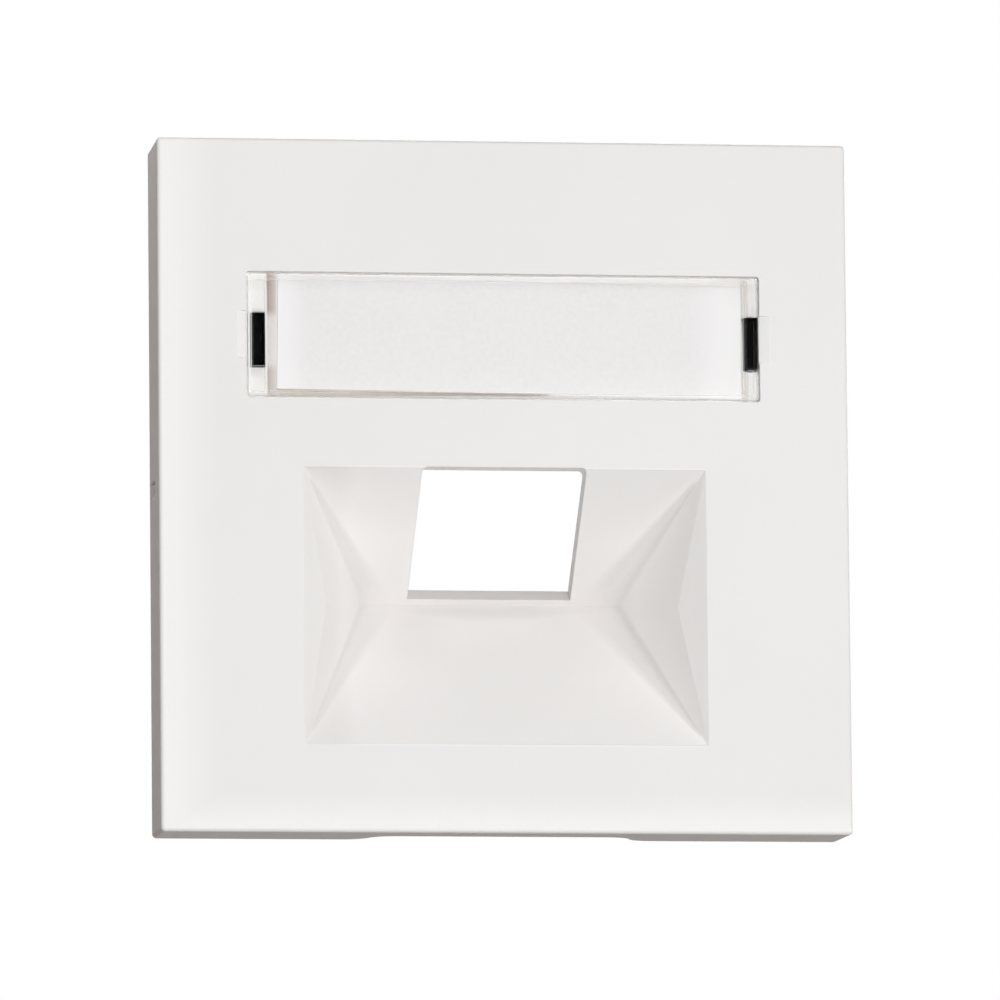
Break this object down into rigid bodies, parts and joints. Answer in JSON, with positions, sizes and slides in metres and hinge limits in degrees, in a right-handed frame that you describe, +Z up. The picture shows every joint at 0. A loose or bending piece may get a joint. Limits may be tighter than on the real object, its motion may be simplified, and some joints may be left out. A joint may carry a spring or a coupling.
{
  "type": "keystone faceplate",
  "caption": "Square white plastic faceplate for a keystone data jack, with a clear-covered label window above a slanted jack aperture sunk in a flared recess",
  "frame": {"origin": "centre of the plane of the skirt's rear rim, which meets the wall frame", "axes": "+X to the right as seen from the front, +Z up, the front face looks along -Y"},
  "size_m": [0.063, 0.015, 0.063],
  "materials": {
    "white_plastic": "satin white moulding",
    "clear_plastic": "clear, polished",
    "paper": "plain white paper card, matt"
  },
  "bodies": {
    "root": {"faceplate": "white_plastic", "label_cover": "clear_plastic", "label_insert": "paper"}
  },
  "joints": []
}
